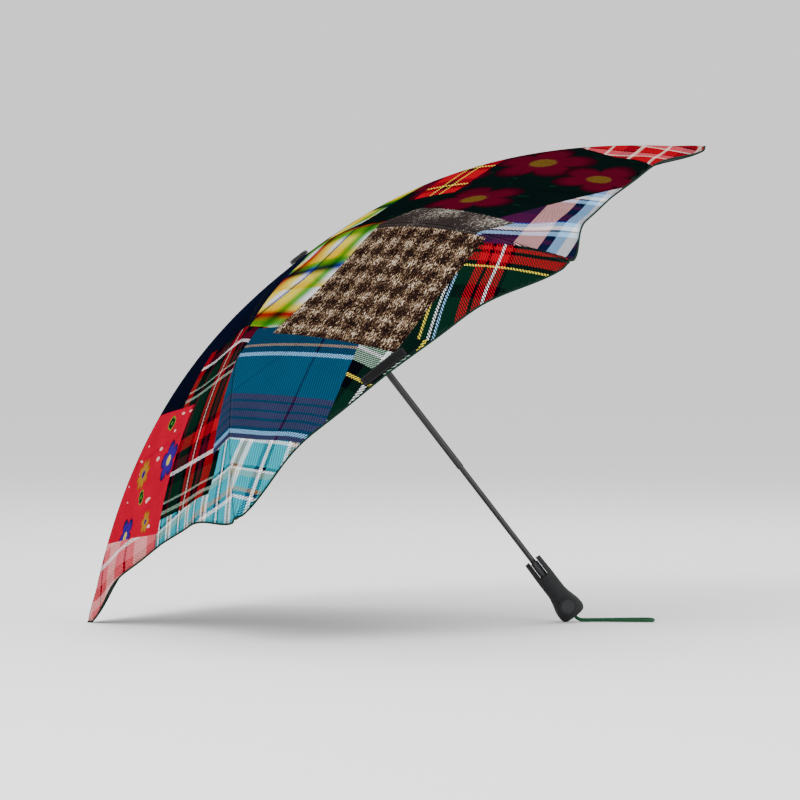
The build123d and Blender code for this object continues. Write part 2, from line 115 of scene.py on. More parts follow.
class Shader:
    """One material and the nodes that make it."""

    def __init__(self, name: str, **fixed: float) -> None:
        """Starts a material.

        Args:
            name: the material's name.
            fixed: shader sockets that are the same all over, by name with _ for a space.
        """
        self.material = bpy.data.materials.new(name)
        self.material.use_nodes = True
        self.tree = self.material.node_tree
        self.surface = self.tree.nodes["Principled BSDF"]
        for socket, value in fixed.items():
            self.surface.inputs[socket.replace("_", " ").title().replace("Ior", "IOR")].default_value = value

    def node(self, kind: str, settings: dict, values: dict, output: Union[int, str] = 0) -> Value:
        """Adds one node.

        Args:
            kind: the node's type, without ShaderNode.
            settings: the node's own settings, set first; stops fills a ramp.
            values: numbers, colours or Values for its sockets, by name or place.
            output: the socket that is handed back.

        Returns:
            The value of that output.
        """
        made = self.tree.nodes.new("ShaderNode" + kind)
        for name, setting in settings.items():
            if name == "stops":
                self._fill_ramp(made.color_ramp, setting)
            elif name == "interpolation":
                made.color_ramp.interpolation = setting
            else:
                setattr(made, name, setting)
        for place, value in values.items():
            if isinstance(value, Value):
                self.tree.links.new(value.socket, made.inputs[place])
            else:
                made.inputs[place].default_value = value
        return Value(self, made.outputs[output])

    @staticmethod
    def _fill_ramp(ramp: bpy.types.ColorRamp, stops: Sequence[tuple[float, Colour]]) -> None:
        """Sets a ramp's stops, in order."""
        while len(ramp.elements) < len(stops):
            ramp.elements.new(1.0)
        for element, (place, colour) in zip(ramp.elements, stops):
            element.position = place
            element.color = (*colour, 1.0)

    def maths(self, operation: str, *values: Number) -> Value:
        """A Math node."""
        return self.node("Math", {"operation": operation}, dict(enumerate(values)))

    def dot(self, vector: Value, weights: Sequence[float]) -> Value:
        """A weighted sum of a vector's three numbers."""
        return self.node("VectorMath", {"operation": "DOT_PRODUCT"}, {0: vector, 1: tuple(weights)}, "Value")

    def mix(self, share: Number, low: "Paint", high: "Paint", blend: str = "MIX") -> Value:
        """A colour between two others."""
        sides = {
            place: side if isinstance(side, Value) else (*side, 1.0) for place, side in ((6, low), (7, high))
        }
        return self.node("Mix", {"data_type": "RGBA", "blend_type": blend}, {0: share, **sides}, 2)

    def ramp(self, at: Number, stops: Sequence[tuple[float, Colour]], kind: str = "LINEAR") -> Value:
        """A colour looked up along a row of stops."""
        return self.node("ValToRGB", {"interpolation": kind, "stops": stops}, {"Fac": at})

    def noise(self, place: Value, scale: float, detail: float = 2.0, stretch: float = 0.0) -> Value:
        """Soft noise, with cells of about 1 / scale."""
        settings = {"noise_dimensions": "3D"}
        values = {"Vector": place, "Scale": scale, "Detail": detail, "Distortion": stretch}
        return self.node("TexNoise", settings, values, "Fac")

    def attribute(self, name: str) -> Value:
        """A vector stored on the mesh's points."""
        return self.node("Attribute", {"attribute_name": name}, {}, "Vector")

    def coordinate(self, kind: str = "Object") -> Value:
        """The piece's own coordinates."""
        return self.node("TexCoord", {}, {}, kind)

    def apart(self, vector: Value) -> tuple[Value, Value, Value]:
        """A vector's three numbers."""
        whole = self.node("SeparateXYZ", {}, {0: vector})
        return tuple(Value(self, socket) for socket in whole.socket.node.outputs)

    def feed(self, socket: str, value: Value) -> None:
        """Links a value to the surface shader."""
        self.tree.links.new(value.socket, self.surface.inputs[socket])

    def bump(self, height: Value, distance: float, strength: float = 1.0) -> None:
        """Raises the surface by a height between 0 and 1."""
        self.feed("Normal", self.node("Bump", {}, {"Height": height, "Distance": distance, "Strength": strength}))


Paint = Union[Value, Colour]


# ---------------------------------------------------------------- hard finishes
@dataclass(frozen=True)
class Finish:
    """A hard finish: a base colour that drifts a little, with a fine grain."""

    name: str
    colour: Colour
    roughness: float
    metallic: float = 0.0
    coat: float = 0.0
    grain: float = 900.0          # grains to the metre
    grain_depth: float = 0.00004
    drift: float = 0.18           # share that the colour and gloss wander by
    gloss: float = 0.3            # strength of the plain reflection
    drawn: Vector = field(default=None)   # direction that the surface was drawn or brushed along

    def material(self) -> bpy.types.Material:
        """Builds the finish.

        Returns:
            The finished material.
        """
        shader = Shader(self.name, metallic=self.metallic, coat_weight=self.coat, coat_roughness=0.12,
                        specular_ior_level=self.gloss)
        place = shader.coordinate()
        cloud = shader.noise(place, 45.0, 3.0)
        grains = shader.noise(self._along(shader, place), self.grain, 2.0)
        darker = tuple(channel * (1 - self.drift) for channel in self.colour)
        lighter = tuple(min(1.0, channel * (1 + self.drift) + 0.002) for channel in self.colour)
        shader.feed("Base Color", shader.mix(cloud * 0.6 + grains * 0.4, darker, lighter))
        shader.feed("Roughness", (cloud - 0.5) * self.drift + (grains - 0.5) * 0.12 + self.roughness)
        shader.bump(grains, self.grain_depth)
        return shader.material

    def _along(self, shader: Shader, place: Value) -> Value:
        """The coordinates, squeezed along the drawn direction so that the grain runs that way."""
        if self.drawn is None:
            return place
        turn = self.drawn.to_track_quat("Z", "Y").inverted().to_euler()
        turned = shader.node("Mapping", {}, {"Vector": place, "Rotation": turn})
        return shader.node("Mapping", {}, {"Vector": turned, "Scale": (1.0, 1.0, 0.03)})


@dataclass(frozen=True)
class Braid:
    """A round braided cord, drawn along the piece's own UV map."""

    name: str
    colour: Colour
    turns: float       # strands along the cord
    strands: float     # strands round it

    def material(self) -> bpy.types.Material:
        """Builds the braid.

        Returns:
            The finished material.
        """
        shader = Shader(self.name, roughness=0.82, sheen_weight=0.05, specular_ior_level=0.2)
        along, around, _ = shader.apart(shader.coordinate("UV"))
        left = shader.maths("SINE", (along * self.turns + around * self.strands) * math.tau)
        right = shader.maths("SINE", (along * self.turns - around * self.strands) * math.tau)
        weave = left * right * 0.5 + 0.5
        fuzz = shader.noise(shader.coordinate(), 1600.0, 3.0)
        # Painted highlight on the crowns of the strands and painted shade in the gaps between them: lit and dim
        # copies of the cord's one colour.
        lit = tuple(channel * 2.1 + 0.004 for channel in self.colour)
        dim = tuple(channel * 0.45 for channel in self.colour)
        shader.feed("Base Color", shader.mix(weave * 0.7 + fuzz * 0.3, dim, lit))
        shader.bump(weave + fuzz * 0.3, 0.0005)
        return shader.material


@dataclass(frozen=True)
class Webbing:
    """Black ribbed strap, drawn along the piece's flat coordinates."""

    name: str
    colour: Colour
    rib: float = 1.5 * MM
    stitch: float = 3.2 * MM
    stitch_half: float = 0.45 * MM
    stitch_line: float = 2.2 * MM      # from the strap's edge
    half_length: float = 31 * MM
    half_width: float = 8.5 * MM

    def material(self) -> bpy.types.Material:
        """Builds the webbing.

        Returns:
            The finished material.
        """
        shader = Shader(self.name, roughness=0.85, specular_ior_level=0.08)
        x, y, _ = shader.apart(shader.attribute("flat"))
        ribs = shader.maths("SINE", x * (math.tau / self.rib)) * 0.5 + 0.5
        inset = shader.maths(
            "MINIMUM", (self.half_length - self.stitch_line) - abs(x), (self.half_width - self.stitch_line) - abs(y)
        )
        dashes = shader.maths("SINE", (x + y) * (math.tau / self.stitch)) > -0.35
        thread = (abs(inset) < self.stitch_half) * dashes
        fuzz = shader.noise(shader.coordinate(), 2200.0, 3.0)
        # Painted highlight on the crowns of the ribs and painted shade in the grooves between them: lit and dim
        # copies of the strap's one colour, with fine random fuzz.
        dim, lit = (tuple(channel * share for channel in self.colour) for share in (0.6, 1.9))
        cloth = shader.mix(ribs * 0.6 + fuzz * 0.4, dim, lit)
        shader.feed("Base Color", shader.mix(thread, cloth, (0.030, 0.030, 0.032)))
        shader.bump(ribs * 0.5 + fuzz * 0.3 + thread, 0.0003)
        return shader.material


# ---------------------------------------------------------------- patchwork cloth
NAVY = (0.0032, 0.0057, 0.0236)
INK = (0.0013, 0.0017, 0.0032)
BOTTLE = (0.0017, 0.0151, 0.0085)
TEAL = (0.0040, 0.0459, 0.0933)
SKY = (0.2220, 0.4416, 0.7096)
PLUM = (0.0420, 0.0040, 0.0320)
SCARLET = (0.3100, 0.0015, 0.0090)
CRIMSON = (0.4200, 0.0020, 0.0240)
WINE = (0.0620, 0.0016, 0.0090)
ROSE = (0.5502, 0.0933, 0.1172)
BLUSH = (0.6632, 0.3381, 0.3181)
CREAM = (0.7330, 0.6863, 0.5724)
WHITE = (0.7566, 0.7684, 0.7922)
LEMON = (0.7330, 0.5724, 0.0493)
GOLD = (0.3000, 0.1500, 0.0150)
OCHRE = (0.1300, 0.0750, 0.0120)
TAN = (0.2789, 0.1593, 0.0706)
RUST = (0.2501, 0.0459, 0.0075)
BROWN = (0.0297, 0.0125, 0.0075)
AQUA = (0.0200, 0.2700, 0.3400)
MINT = (0.2220, 0.3381, 0.2596)
LEAF = (0.0781, 0.2984, 0.0236)
ROYAL = (0.0075, 0.0236, 0.2501)
VIOLET = (0.0297, 0.0075, 0.1857)
DUSK = (0.0151, 0.0010, 0.0040)
UMBER = (0.0230, 0.0170, 0.0160)
ASH = (0.1100, 0.0900, 0.0800)

Stripes = tuple[tuple[float, Colour], ...]


class Weave(Enum):
    """How a printed check crosses its two sets of stripes."""

    TWILL = "twill"        # the two sets show in turn along fine diagonals
    BLURRED = "blurred"    # the two sets run into each other


@dataclass(frozen=True)
class Patch:
    """One printed patch: a rectangle on the flat cloth, turned, with its own pattern."""

    centre: tuple[float, float]
    half: tuple[float, float]
    turn: float                      # degrees
    bend: float = 0.0                # how far its left and right sides lean, as a slope

    def local(self, shader: Shader, flat: Value) -> tuple[Value, Value]:
        """The patch's own two coordinates.

        Args:
            shader: the cloth's shader.
            flat: place on the flat cloth, as (u, v, 1).

        Returns:
            The distances along and up the patch from its centre.
        """
        c, s = math.cos(math.radians(self.turn)), math.sin(math.radians(self.turn))
        u, v = self.centre
        across = (c, s, -(u * c + v * s))
        up = (-s, c, u * s - v * c)
        leaned = tuple(a - self.bend * b for a, b in zip(across, up))
        return shader.dot(flat, leaned), shader.dot(flat, up)

    def mask(self, shader: Shader, x: Value, y: Value) -> Value:
        """1 inside the patch, else 0."""
        beyond = shader.maths("MAXIMUM", abs(x) - self.half[0], abs(y) - self.half[1])
        return beyond < 0.0


@dataclass(frozen=True)
class Check(Patch):
    """A tartan or plaid: two sets of stripes that cross."""

    warp: Stripes = ()
    weft: Stripes = ()
    repeat: tuple[float, float] = (0.1, 0.1)
    weave: Weave = Weave.TWILL
    pitch: float = TWILL

    def paint(self, shader: Shader, x: Value, y: Value, fuzz: Value) -> Value:
        """The check's colour."""
        kind = "CONSTANT" if self.weave is Weave.TWILL else "EASE"
        shake = (fuzz - 0.5) * (0.0016 if self.weave is Weave.TWILL else 0.010)
        across = shader.maths("FRACT", (x + shake) / self.repeat[0] + 0.5)
        along = shader.maths("FRACT", (y + shake) / self.repeat[1] + 0.5)
        warp = shader.ramp(across, self._stops(self.warp), kind)
        weft = shader.ramp(along, self._stops(self.weft), kind)
        if self.weave is Weave.BLURRED:
            return shader.mix(1.0, warp, weft, "MULTIPLY")
        twill = shader.maths("FRACT", (x + y + shake * 0.4) / self.pitch)
        share = shader.maths("SMOOTH_MIN", abs(twill - 0.5) * 6.0 - 0.9, 1.0, 0.3)
        return shader.mix(shader.maths("MAXIMUM", share, 0.0), warp, weft)

    @staticmethod
    def _stops(stripes: Stripes) -> list[tuple[float, Colour]]:
        """Ramp stops from stripe widths, which are shares of their sum."""
        whole = sum(width for width, _ in stripes)
        at, stops = 0.0, []
        for width, colour in stripes:
            stops.append((at / whole, colour))
            at += width
        return stops


@dataclass(frozen=True)
class Plain(Patch):
    """Plain twill in two close shades, with painted shade that makes it darker towards one side."""

    dark: Colour = NAVY
    light: Colour = BOTTLE
    pitch: float = TWILL

    def paint(self, shader: Shader, x: Value, y: Value, fuzz: Value) -> Value:
        """The twill's colour."""
        lines = abs(shader.maths("FRACT", (x + y) / self.pitch) - 0.5) * 2.0
        # Painted shade: across the patch the twill runs from its dark colour on the -x side to mostly its light
        # colour on the +x side.
        return shader.mix(lines * 0.35 + (x / self.half[0] + 1.0) * 0.33, self.dark, self.light)


@dataclass(frozen=True)
class Tweed(Patch):
    """Rough wool in broken blocks of light and dark flecks."""

    block: float = 29 * MM
    contrast: float = 2.6
    shades: tuple[Colour, Colour, Colour, Colour] = (INK, BROWN, TAN, CREAM)

    def paint(self, shader: Shader, x: Value, y: Value, fuzz: Value) -> Value:
        """The tweed's colour."""
        rows = shader.maths("SINE", x * (math.tau / self.block)) + shader.maths("SINE", y * (math.tau / self.block))
        place = shader.node("CombineXYZ", {}, {0: x, 1: y})
        fleck = shader.noise(shader.node("Mapping", {}, {"Vector": place, "Scale": (1.0, 2.2, 1.0)}), 260.0, 4.0, 1.2)
        tone = rows * 0.11 + (fleck - 0.5) * self.contrast + 0.36
        dark, brown, tan, cream = self.shades
        return shader.ramp(tone, [(0.0, dark), (0.34, brown), (0.50, UMBER), (0.62, tan), (0.98, cream)])


@dataclass(frozen=True)
class Bloom:
    """One printed flower."""

    at: tuple[float, float]
    radius: float
    petals: int = 5
    turn: float = 0.0


@dataclass(frozen=True)
class Floral(Patch):
    """Printed flowers on a plain ground."""

    ground: Colour = CRIMSON
    shade: Colour = SCARLET
    blooms: tuple[tuple[Colour, Colour, Colour, tuple[Bloom, ...]], ...] = ()
    dashes: Colour = BLUSH

    def paint(self, shader: Shader, x: Value, y: Value, fuzz: Value) -> Value:
        """The flowers' colour."""
        place = shader.node("CombineXYZ", {}, {0: x, 1: y})
        lines = abs(shader.maths("FRACT", (x + y) / TWILL) - 0.5) * 2.0
        colour = shader.mix(lines * 0.5, self.ground, self.shade)
        marks = shader.noise(shader.node("Mapping", {}, {"Vector": place, "Scale": (1.0, 0.45, 1.0)}), 75.0, 0.0)
        colour = shader.mix(marks > 0.755, colour, self.dashes)
        for petal, edge, heart, blooms in self.blooms:
            for bloom in blooms:
                colour = self._bloom(shader, x, y, fuzz, colour, petal, edge, heart, bloom)
        return colour

    def _bloom(
        self, shader: Shader, x: Value, y: Value, fuzz: Value, under: Value,
        petal: Colour, edge: Colour, heart: Colour, bloom: Bloom,
    ) -> Value:
        """Paints one flower over a colour."""
        dx, dy = x - bloom.at[0], y - bloom.at[1]
        reach = shader.maths("SQRT", dx * dx + dy * dy) / bloom.radius + (fuzz - 0.5) * 0.35
        angle = shader.maths("ARCTAN2", dy, dx) + math.radians(bloom.turn)
        lobes = abs(shader.maths("SINE", angle * (bloom.petals / 2)))
        rim = shader.maths("SQRT", lobes) * 0.5 + 0.5
        share = reach / rim
        tone = shader.ramp(share, [(0.0, edge), (0.30, petal), (0.72, petal), (0.97, edge)])
        painted = shader.mix(share < 1.0, under, tone)
        core = shader.mix(fuzz > 0.52, heart, tuple(c * 0.25 for c in heart))
        return shader.mix(reach < 0.24, painted, core)


PATCHES: tuple[Patch, ...] = (
    Check((0.45, -0.05), (0.14, 0.20), -28, warp=((3, WINE), (1, CREAM), (5, SCARLET), (0.7, CREAM), (3, SCARLET)),
          weft=((3, SCARLET), (1, CREAM), (4, ROSE), (0.8, INK), (3, SCARLET)), repeat=(0.062, 0.055)),
    Check((0.31, -0.33), (0.20, 0.26), -25,
          warp=((20, PLUM), (30, BLUSH), (11, NAVY), (12, SKY), (12, WHITE), (13, NAVY), (52, PLUM)),
          weft=((15, NAVY), (14, SKY), (5, NAVY), (14, WHITE), (14, SKY), (5, ROYAL), (40, PLUM), (30, NAVY),
                (13, PLUM)),
          repeat=(0.15, 0.15)),
    Check((0.02, -0.085), (0.215, 0.145), 14, bend=-0.30, weave=Weave.BLURRED,
          warp=((20, LEMON), (12, WHITE), (10, ROYAL), (8, LEAF), (22, LEMON), (14, WHITE), (14, LEAF), (10, SCARLET),
                (16, LEMON), (16, WHITE)),
          weft=((9, ROYAL), (11, WHITE), (26, LEMON), (10, SCARLET), (16, WHITE), (16, LEAF), (12, LEMON)),
          repeat=(0.172, 0.122)),
    Plain((-0.122, -0.021), (0.122, 0.122), 50, dark=INK, light=NAVY),
    Check((-0.285, -0.345), (0.115, 0.30), 34,
          warp=((20, AQUA), (6, WHITE), (6, TEAL), (7, TAN), (18, AQUA), (9, MINT), (4, WHITE), (5, INK), (18, AQUA)),
          weft=((24, AQUA), (9, WHITE), (8, TAN), (6, WHITE), (24, AQUA), (6, INK), (6, WHITE), (8, TEAL)),
          repeat=(0.082, 0.072)),
    Check((-0.501, -0.052), (0.095, 0.183), 33, warp=((20, ROSE), (7, WHITE), (16, ROSE), (12, BLUSH), (14, SCARLET)),
          weft=((30, BLUSH), (16, ROSE), (5, WINE), (22, ROSE)), repeat=(0.066, 0.10), pitch=5.0 * MM),
    Check((-0.215, -0.205), (0.115, 0.112), 25,
          warp=((12, INK), (5, WHITE), (14, WINE), (10, INK), (16, SCARLET), (8, INK), (50, BOTTLE), (5, MINT),
                (8, INK), (3, MINT), (19, BOTTLE)),
          weft=((32, SCARLET), (8, INK), (14, WINE), (10, INK), (14, SCARLET), (4, INK), (5, BLUSH), (4, INK),
                (9, SCARLET), (12, INK), (34, BOTTLE), (8, WINE), (31, INK)),
          repeat=(0.150, 0.185)),
    Floral((-0.3412, -0.0231), (0.081, 0.147), 20, ground=CRIMSON, shade=SCARLET, blooms=(
        (VIOLET, NAVY, LEMON, (Bloom((-0.077, -0.019), 0.025), Bloom((0.011, -0.121), 0.027, 5, 20.0),
                               Bloom((0.045, 0.057), 0.024))),
        (GOLD, RUST, VIOLET, (Bloom((0.000, -0.032), 0.021, 8), Bloom((-0.063, -0.088), 0.015, 6),
                              Bloom((-0.030, 0.072), 0.020, 8))),
        (BOTTLE, LEAF, LEAF, (Bloom((-0.030, -0.048), 0.010, 2, 50.0), Bloom((0.063, -0.078), 0.012, 2, 20.0))),
    )),
    Check((0.02, -0.43), (0.135, 0.075), 20,
          warp=((12, INK), (4, LEMON), (14, INK), (13, MINT), (4, WHITE), (13, MINT), (38, BOTTLE)),
          weft=((20, INK), (3, LEMON), (18, INK), (4, WHITE), (10, BOTTLE)), repeat=(0.125, 0.09)),
    Check((-0.1115, -0.3295), (0.090, 0.089), 37,
          warp=((7, PLUM), (6, SKY), (5, NAVY), (10, PLUM), (4, NAVY), (9, PLUM), (4, NAVY), (10, PLUM), (4, NAVY),
                (9, PLUM), (62, TEAL), (6, SKY), (10, NAVY), (4, TAN), (30, NAVY)),
          weft=((60, TEAL), (3, NAVY), (120, TEAL)), repeat=(0.180, 0.20), pitch=4.0 * MM),
    Check((0.1632, -0.4333), (0.105, 0.0715), -50,
          warp=((18, INK), (4, LEMON), (9, BOTTLE), (4, WHITE), (3, INK), (4, SKY), (22, BOTTLE), (13, SCARLET),
                (5, INK), (11, SCARLET), (4, WHITE), (11, SCARLET), (5, INK), (92, BOTTLE)),
          weft=((60, BOTTLE), (20, INK), (28, BOTTLE), (3, LEMON), (6, INK), (12, SCARLET), (4, INK), (6, SCARLET),
                (4, INK)), repeat=(0.205, 0.143)),
    Floral((0.259, -0.107), (0.159, 0.131), 33, ground=INK, shade=BOTTLE, dashes=BOTTLE, blooms=(
        (WINE, DUSK, OCHRE, (
            Bloom((0.083, 0.010), 0.066, 5, 10.0), Bloom((-0.070, -0.030), 0.062, 5, 60.0),
            Bloom((0.076, -0.092), 0.057, 5, 30.0), Bloom((-0.010, 0.085), 0.056, 5, 80.0),
            Bloom((0.145, 0.080), 0.050, 5, 40.0))),
    )),
    Check((0.2366, -0.015), (0.030, 0.090), -39,
          warp=((22, SCARLET), (4, LEMON), (14, WINE), (4, LEMON), (20, SCARLET)),
          weft=((30, SCARLET), (10, INK), (4, LEMON), (16, WINE)), repeat=(0.05, 0.07)),
    Tweed((0.1677, -0.2458), (0.034, 0.092), 28, block=90 * MM, contrast=2.2, shades=(UMBER, UMBER, ASH, CREAM)),
    Tweed((0.058, -0.295), (0.093, 0.098), 18, bend=-0.23),
)


@dataclass(frozen=True)
class Patchwork:
    """The printed cloth of the canopy."""

    name: str = "canopy_print"
    thread: float = 1.1 * MM
    # The ridge pitch is the spacing of the painted shade's diagonal twill lines.
    ridge: float = 4.6 * MM
    seam_half: float = 0.8 * MM
    stitch_row: float = 2.6 * MM
    stitch_pitch: float = 3.0 * MM
    stitch_half: float = 0.30 * MM
    hem_row: float = 4.0 * MM        # the hem's stitches, from its edge

    def material(self) -> bpy.types.Material:
        """Builds the print, its weave and the sewn seams, with painted shade and highlight over the weave and painted
        shade in the seams' folds.

        Returns:
            The finished material.
        """
        shader = Shader(self.name, specular_ior_level=0.0)
        flat, edge = shader.attribute("flat"), shader.attribute("edge")
        fuzz = shader.noise(flat, 700.0, 3.0)
        colour = shader.mix(fuzz, INK, BOTTLE)
        for patch in PATCHES:
            x, y = patch.local(shader, flat)
            colour = shader.mix(patch.mask(shader, x, y), colour, patch.paint(shader, x, y, fuzz))
        # Painted shade and highlight over the whole print, multiplying its colour by 0.35 to 1.25: darker in the
        # twill's diagonal grooves and lighter on their crowns, with thread-scale flecks and broad uneven patches.
        broad_shade = shader.noise(flat, 26.0, 4.0)
        u, v, _ = shader.apart(flat)
        twill_shade = abs(shader.maths("FRACT", (u - v) / self.ridge) - 0.5) * 2.0
        light = fuzz * 0.45 + broad_shade * 0.15 + twill_shade * 0.4
        shade = shader.ramp(light, [(0.25, (0.35,) * 3), (0.5, (0.80,) * 3), (0.75, (1.25,) * 3)])
        colour = shader.mix(1.0, colour, shade, "MULTIPLY")
        seam, hem, along = shader.apart(edge)
        # Within seam_half of the rib the cloth folds into the seam: a groove in the bump, and painted shade that
        # darkens the print towards INK.
        fold_groove_and_shade = seam < self.seam_half
        row = abs(seam - self.stitch_row) < self.stitch_half
        dash = shader.maths("SINE", along * (math.tau / self.stitch_pitch)) > -0.2
        thread = row * dash
        hem_row = (abs(hem - self.hem_row) < self.stitch_half) * dash
        stitches = shader.maths("MAXIMUM", thread, hem_row)
        colour = shader.mix(fold_groove_and_shade * 0.55, colour, INK)
        shader.feed("Base Color", shader.mix(stitches * 0.6, colour, (0.05, 0.06, 0.055)))
        warp = shader.maths("SINE", u * (math.tau / self.thread)) * shader.maths("SINE", v * (math.tau / self.thread))
        rise = warp * 0.18 + fuzz * 0.25 + stitches * 0.7 - fold_groove_and_shade * 0.8
        shader.feed("Roughness", fuzz * 0.16 + 0.68)
        shader.bump(rise, 0.00035)
        return shader.material


@dataclass(frozen=True)
class Lining:
    """Underside of the canopy: the dark coated back of the print."""

    name: str = "canopy_lining"

    def material(self) -> bpy.types.Material:
        """Builds the coated back.

        Returns:
            The finished material.
        """
        shader = Shader(self.name, specular_ior_level=0.3)
        flat = shader.attribute("flat")
        fuzz = shader.noise(flat, 800.0, 3.0)
        cloud = shader.noise(flat, 18.0, 3.0)
        shader.feed("Base Color", shader.mix(fuzz * 0.5 + cloud * 0.5, (0.010, 0.011, 0.013), (0.035, 0.036, 0.040)))
        u, v, _ = shader.apart(flat)
        warp = shader.maths("SINE", u * (math.tau / MM)) * shader.maths("SINE", v * (math.tau / MM))
        shader.feed("Roughness", fuzz * 0.15 + 0.5)
        shader.bump(warp * 0.3 + fuzz * 0.3, 0.0003)
        return shader.material


# ---------------------------------------------------------------- modelling tools
def deselect() -> None:
    """Leaves edit mode and selects nothing."""
    if bpy.context.object and bpy.context.object.mode != "OBJECT":
        bpy.ops.object.mode_set(mode="OBJECT")
    bpy.ops.object.select_all(action="DESELECT")


def choose(piece: bpy.types.Object) -> None:
    """Selects one piece alone and makes it active."""
    deselect()
    piece.select_set(True)
    bpy.context.view_layer.objects.active = piece


def apply_modifier(piece: bpy.types.Object, kind: str, **settings: object) -> None:
    """Adds one modifier and applies it.

    Args:
        piece: the mesh that takes it.
        kind: the modifier's type.
        settings: its settings.
    """
    choose(piece)
    modifier = piece.modifiers.new(kind.lower(), kind)
    for name, value in settings.items():
        setattr(modifier, name, value)
    bpy.ops.object.modifier_apply(modifier=modifier.name)


def grid(name: str, across: int, along: int, shape: Callable[[float, float], Vector]) -> bpy.types.Object:
    """A sheet of quads, bent to a formula.

    Args:
        name: the piece's name.
        across: faces along its first side.
        along: faces along its second side.
        shape: gives a point for two shares from 0 to 1.

    Returns:
        The sheet.
    """
    deselect()
    bpy.ops.mesh.primitive_grid_add(x_subdivisions=across, y_subdivisions=along, size=2.0)
    piece = bpy.context.object
    piece.name = piece.data.name = name
    for vertex in piece.data.vertices:
        vertex.co = shape((vertex.co.x + 1) / 2, (vertex.co.y + 1) / 2)
    piece.data.update()
    return piece


def face_towards(piece: bpy.types.Object, outward: Vector) -> None:
    """Turns a sheet's faces over if they look away from a direction."""
    total = sum((face.normal * face.area for face in piece.data.polygons), Vector())
    if total.dot(outward) < 0:
        choose(piece)
        bpy.ops.object.mode_set(mode="EDIT")
        bpy.ops.mesh.select_all(action="SELECT")
        bpy.ops.mesh.flip_normals()
        bpy.ops.object.mode_set(mode="OBJECT")


def store(piece: bpy.types.Object, name: str, values: Sequence[Sequence[float]]) -> None:
    """Keeps a vector for each point of a mesh, which its material reads."""
    attribute = piece.data.attributes.new(name, "FLOAT_VECTOR", "POINT")
    attribute.data.foreach_set("vector", [number for value in values for number in value])


def smooth(value: float) -> float:
    """0 to 1, easing in and out."""
    value = min(1.0, max(0.0, value))
    return value * value * (3 - 2 * value)


# ---------------------------------------------------------------- canopy
@dataclass
class Dome:
    """The shape that the cloth takes over the ribs, about the shaft."""

    joints: dict
    arms: int = 6
    tip_radius: float = 480 * MM
    crown_height: float = 196 * MM
    power: float = 2.25
    pivot_drop: float = 7.5 * MM       # crown hinges below the cloth
    rim_radius: float = 450 * MM       # hem at the middle of a panel, as a radius along a rib
    rim_point: float = 33.5 * MM         # how far the hem runs out at a rib
    rim_spread: float = 8.8            # degrees in which that falls away
    rim_power: float = 2.1
    sag: float = 4 * MM
    flare: float = 7 * MM              # how far the cloth stands out beside a tip
    flare_at: float = 11.0             # degrees from the rib
    flare_spread: float = 6.0
    flare_from: float = 400 * MM

    def __post_init__(self) -> None:
        """Finds the shaft, the first arm and the length along a rib."""
        pivots = [Vector(self.joints[f"crown_hinge_{arm}"]["pos_m"]) for arm in range(self.arms)]
        centre = sum(pivots, Vector()) / self.arms
        self.up = -Vector(self.joints["runner_slide"]["axis"]).normalized()
        self.out = (pivots[0] - centre).normalized()
        self.side = self.up.cross(self.out)
        self.base = centre - self.up * (self.height((pivots[0] - centre).length) - self.pivot_drop)
        self.knuckles = [
            self.radius_of(Vector(self.joints[f"{name}_knuckle_0"]["pos_m"])) for name in ("inner", "outer")
        ]
        step, at, self.lengths = MM, 0.0, [0.0]
        for count in range(1, int((self.tip_radius + 20 * MM) / step)):
            rise = self.height((count - 1) * step) - self.height(count * step)
            at += math.hypot(step, rise)
            self.lengths.append(at)

    def radius_of(self, point: Vector) -> float:
        """Distance from the shaft."""
        away = point - self.base
        return (away - self.up * away.dot(self.up)).length

    def height(self, reach: float) -> float:
        """Height of the cloth over a rib."""
        return self.crown_height * (1 - (reach / self.tip_radius) ** self.power)

    def along(self, reach: float) -> float:
        """Length along a rib from the crown."""
        whole = int(reach / MM)
        part = reach / MM - whole
        return self.lengths[whole] * (1 - part) + self.lengths[whole + 1] * part

    def place(self, radius: float, azimuth: float, height: float) -> Vector:
        """A point at a radius, an angle round the shaft and a height above the tips."""
        direction = self.out * math.cos(azimuth) + self.side * math.sin(azimuth)
        return self.base + direction * radius + self.up * height

    def rim(self, share: float) -> float:
        """The hem, as a radius along a rib, from a rib (0) to the middle of a panel (1)."""
        turn = share * 180 / self.arms
        return self.rim_radius + self.rim_point / (1 + (turn / self.rim_spread) ** self.rim_power)

    def slope(self, reach: float) -> float:
        """Fall of the cloth over a rib, per length outwards."""
        return self.crown_height * self.power / self.tip_radius * (reach / self.tip_radius) ** (self.power - 1)


